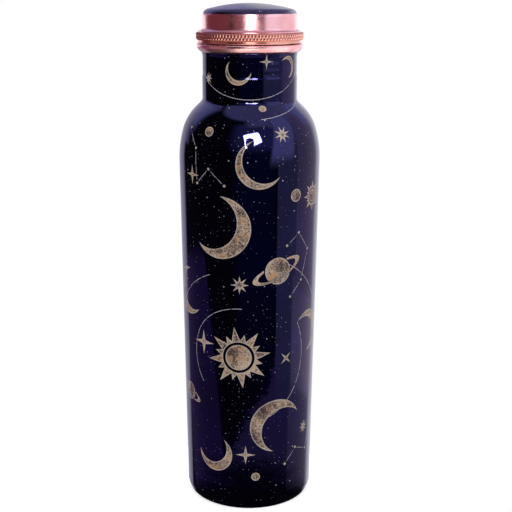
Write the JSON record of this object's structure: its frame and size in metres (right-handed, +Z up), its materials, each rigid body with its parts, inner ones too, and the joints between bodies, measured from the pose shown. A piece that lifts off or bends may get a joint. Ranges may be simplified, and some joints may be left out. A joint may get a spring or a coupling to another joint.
{
  "type": "water bottle",
  "caption": "Tall round copper water bottle with a lacquered, printed body, a copper mouthpiece and a knurled copper screw cap.",
  "frame": {"origin": "centre of the circle that the bottle stands on", "axes": "+Z up along the bottle's axis, through the middle of the cap; X and Y are level"},
  "size_m": [0.0752, 0.0752, 0.2711],
  "materials": {
    "lacquered_copper": "gloss",
    "polished_copper": "polished",
    "silicone": "satin"
  },
  "bodies": {
    "bottle": {"bottle_shell": "lacquered_copper", "neck_ring": "polished_copper"},
    "seal": {"cap_seal": "silicone"},
    "cap": {"cap_shell": "polished_copper", "cap_ring": "polished_copper", "cap_liner": "polished_copper"}
  },
  "joints": [
    {"name": "cap_lift", "type": "slide", "parent": "bottle", "child": "seal", "axis": [0, 0, 1], "range_m": [0, 0.012]},
    {"name": "cap_turn", "type": "hinge", "parent": "seal", "child": "cap", "pos_m": [0, 0, 0.2563], "axis": [0, 0, 1], "range_deg": [0, 1080]}
  ],
  "couplings": [
    {"joint": "cap_lift", "follows": "cap_turn", "m_per_rad": 0.00063662}
  ]
}
